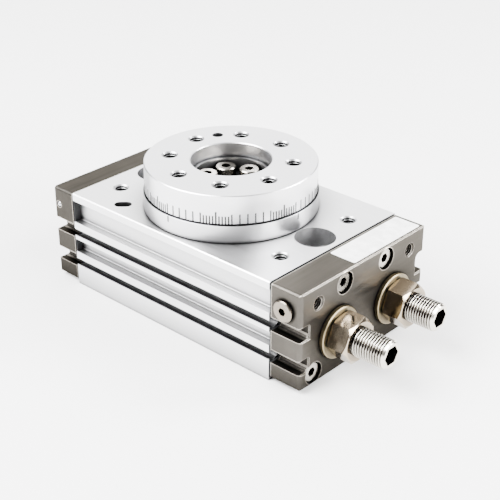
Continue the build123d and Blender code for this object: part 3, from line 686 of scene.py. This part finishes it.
def adjusting_bolt(node):
    """A bolt along X in place of its plain solid: a hexagon socket, a spiral thread and chamfered ends."""
    low, high = corners(node)
    axis = (low + high) / 2
    bolt_radius = (high.y - low.y) / 2
    length = high.x - low.x
    row_count = round(length / BOLT_PITCH * ROWS_PER_PITCH)

    def ring(depth, radii):
        points = []
        for radius, turn in zip(radii, BOLT_TURNS):
            across = radius * math.cos(turn)
            up = radius * math.sin(turn)
            points.append((high.x - depth, axis.y + across, axis.z + up))
        return points

    socket = [hexagon_radius(turn) for turn in BOLT_TURNS]
    rings = [ring(BOLT_SOCKET_DEPTH, socket), ring(0.0, socket)]
    for row in range(row_count + 1):
        depth = length * row / row_count
        end_room = min(depth, length - depth)
        phases = [(depth / BOLT_PITCH + side / BOLT_SIDES) % 1.0 for side in range(BOLT_SIDES)]
        rings.append(ring(depth, [thread_radius(bolt_radius, end_room, phase) for phase in phases]))
    name = node + "_thread"
    piece = add_piece(name, loft(name, rings, bolt_metal), node)
    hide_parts(node)


adjusting_bolt("left_adjusting_bolt")
adjusting_bolt("right_adjusting_bolt")


# Rounded corners at the foot of the left notches


NOTCH_DEPTH = 4.4
NOTCH_WALL = NOTCH_DEPTH - COVER_SIDE
NOTCH_FEET = (19.2, 7.2)
NOTCH_ROUNDING = 1.8
NOTCH_STEPS = 10
NOTCH_CORNER_CUT = 0.3

# Where the strips of each cover start and end along X
NEAR_STRIP = (48.0, 59.1)
FAR_STRIP = (-56.6, -48.0)


def notch_rounding(name, foot, ends, material):
    """A strip along X with a hollow face that rounds one inner corner, cut short of the screw's head."""
    centre_y = NOTCH_WALL - NOTCH_ROUNDING
    centre_z = foot + NOTCH_ROUNDING
    outline = [(NOTCH_WALL, foot + NOTCH_CORNER_CUT), (NOTCH_WALL - NOTCH_CORNER_CUT, foot)]
    outline += quarter_arc(centre_y, centre_z, NOTCH_ROUNDING, 270, NOTCH_STEPS)
    return loft(name, [[(x, y, z) for y, z in outline] for x in ends], material)


def notch_roundings(name, ends, material):
    """The strips of one cover, one at the foot of each notch."""
    strips = [notch_rounding(name + "_strip", foot, ends, material) for foot in NOTCH_FEET]
    add_piece(name, join(name, strips), "housing")


notch_roundings("near_notch_roundings", NEAR_STRIP, cover_metal)
notch_roundings("far_notch_roundings", FAR_STRIP, shaded_far_cover_metal)


# Blank label on the near cover


LABEL_X = (48.4, 58.4)
LABEL_Y = (-5.0, 30.4)
LABEL_THICKNESS = 0.12
LABEL_CORNER = 0.6
LABEL_CORNER_STEPS = 5


def blank_label():
    """A thin film with rounded corners, left blank."""
    x_low = LABEL_X[0] + LABEL_CORNER
    x_high = LABEL_X[1] - LABEL_CORNER
    y_low = LABEL_Y[0] + LABEL_CORNER
    y_high = LABEL_Y[1] - LABEL_CORNER
    outline = []
    for x, y, start in ((x_high, y_high, 0), (x_low, y_high, 90), (x_low, y_low, 180), (x_high, y_low, 270)):
        outline += quarter_arc(x, y, LABEL_CORNER, start, LABEL_CORNER_STEPS)
    heights = (COVER_TOP, COVER_TOP + LABEL_THICKNESS)
    return loft("blank_label", [[(x, y, z) for x, y in outline] for z in heights], label_film)


add_piece("blank_label", blank_label(), "housing")


# Floor, light and camera, in metres and degrees


FLOOR_REACH = 3.0
FLOOR_COLOUR = (0.93, 0.93, 0.93)
FLOOR_ROUGHNESS = 0.9
SKY_STRENGTH = 0.35
LENS = 85.18
SENSOR_WIDTH = 36.0
NEAREST_SEEN = 0.01
CAMERA_PLACE = (0.2562, -0.2697, 0.2174)
CAMERA_ELEVATION = 28.204
CAMERA_AZIMUTH = 42.532

# For each softbox: its place, the point that it faces, its two sides and its watts
SOFTBOXES = {
    "back_softbox": ((-0.50, 0.64, 0.50), (0, 0, 0.03), (1.2, 0.8), 14.0),
    "key_softbox": ((-0.32, -0.52, 0.68), (0, 0, 0.0), (0.7, 0.7), 52.0),
    "right_softbox": ((0.75, 0.10, 0.34), (0, 0, 0.03), (0.5, 0.4), 25.0),
    "edge_softbox": ((0.45, 0.56, 0.54), (0.05, 0, 0.03), (0.3, 0.3), 16.0),
}


def floor():
    """A plain pale floor."""
    mesh = bpy.data.meshes.new("floor")
    square = [(FLOOR_REACH * x, FLOOR_REACH * y, 0) for x, y in ((-1, -1), (1, -1), (1, 1), (-1, 1))]
    mesh.from_pydata(square, [], [(0, 1, 2, 3)])
    pale = Finish("floor_paper")
    pale.plain(Base_Color=FLOOR_COLOUR, Roughness=FLOOR_ROUGHNESS)
    mesh.materials.append(pale.material)
    plane = bpy.data.objects.new("floor", mesh)
    bpy.context.scene.collection.objects.link(plane)


def sky():
    """Even white light from all around."""
    world = bpy.data.worlds.new("studio")
    world.use_nodes = True
    background = world.node_tree.nodes["Background"]
    background.inputs["Color"].default_value = (1, 1, 1, 1)
    background.inputs["Strength"].default_value = SKY_STRENGTH
    bpy.context.scene.world = world


def softbox(name, place, target, sides, watts):
    """A rectangular area light that faces a point."""
    lamp = bpy.data.lights.new(name, "AREA")
    lamp.shape = "RECTANGLE"
    lamp.size, lamp.size_y = sides
    lamp.energy = watts
    light = bpy.data.objects.new(name, lamp)
    light.location = place
    light.rotation_mode = "QUATERNION"
    light.rotation_quaternion = (Vector(target) - Vector(place)).to_track_quat("-Z", "Y")
    bpy.context.scene.collection.objects.link(light)


def camera():
    """The camera at the photograph's viewing angle."""
    lens = bpy.data.cameras.new("camera")
    lens.lens = LENS
    lens.sensor_width = SENSOR_WIDTH
    lens.clip_start = NEAREST_SEEN
    eye = bpy.data.objects.new("camera", lens)
    eye.location = CAMERA_PLACE
    eye.rotation_euler = (math.radians(90 - CAMERA_ELEVATION), 0, math.radians(CAMERA_AZIMUTH))
    bpy.context.scene.collection.objects.link(eye)
    bpy.context.scene.camera = eye


floor()
sky()
for name, (place, target, sides, watts) in SOFTBOXES.items():
    softbox(name, place, target, sides, watts)
camera()
